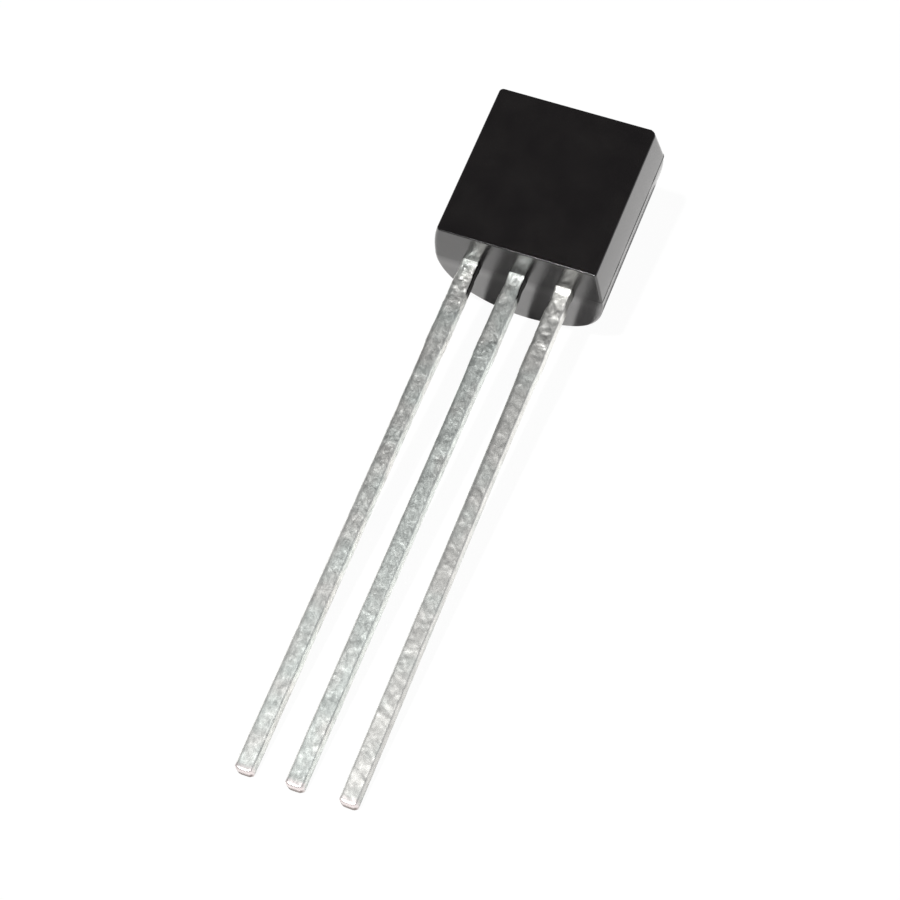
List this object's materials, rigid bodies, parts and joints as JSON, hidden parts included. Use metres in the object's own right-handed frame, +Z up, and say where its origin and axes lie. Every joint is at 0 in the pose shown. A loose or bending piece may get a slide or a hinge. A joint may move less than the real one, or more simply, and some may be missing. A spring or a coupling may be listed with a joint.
{
  "type": "to-92 transistor",
  "caption": "Small-signal transistor: black half-round moulded body with a flat front and a row of straight tinned leads, lying on its round back.",
  "frame": {"origin": "middle of the part's box, on the surface that it lies on", "axes": "+Z up; +X to the right seen from the flat front with the leads towards the viewer; +Y along the part in plan, from the lead tips to the body's top. The part lies on its round back with the flat upwards: it touches the surface at the back's lower rim and at the lead tips, so its own long axis rises by 8.64 degrees from the tips to the body."},
  "size_m": [0.0046, 0.019, 0.0042],
  "materials": {
    "epoxy": "black moulded epoxy, satin gloss",
    "tin_plate": "hot-dipped tin, mottled and rippled",
    "silicon": "polished silicon",
    "silver_epoxy": "silver-filled adhesive, dull",
    "gold_wire": "drawn gold wire"
  },
  "bodies": {
    "root": {"body": "epoxy", "emitter_lead": "tin_plate", "base_lead": "tin_plate", "collector_lead": "tin_plate", "die": "silicon", "die_attach": "silver_epoxy", "emitter_bond_wire": "gold_wire", "base_bond_wire": "gold_wire"}
  },
  "joints": []
}
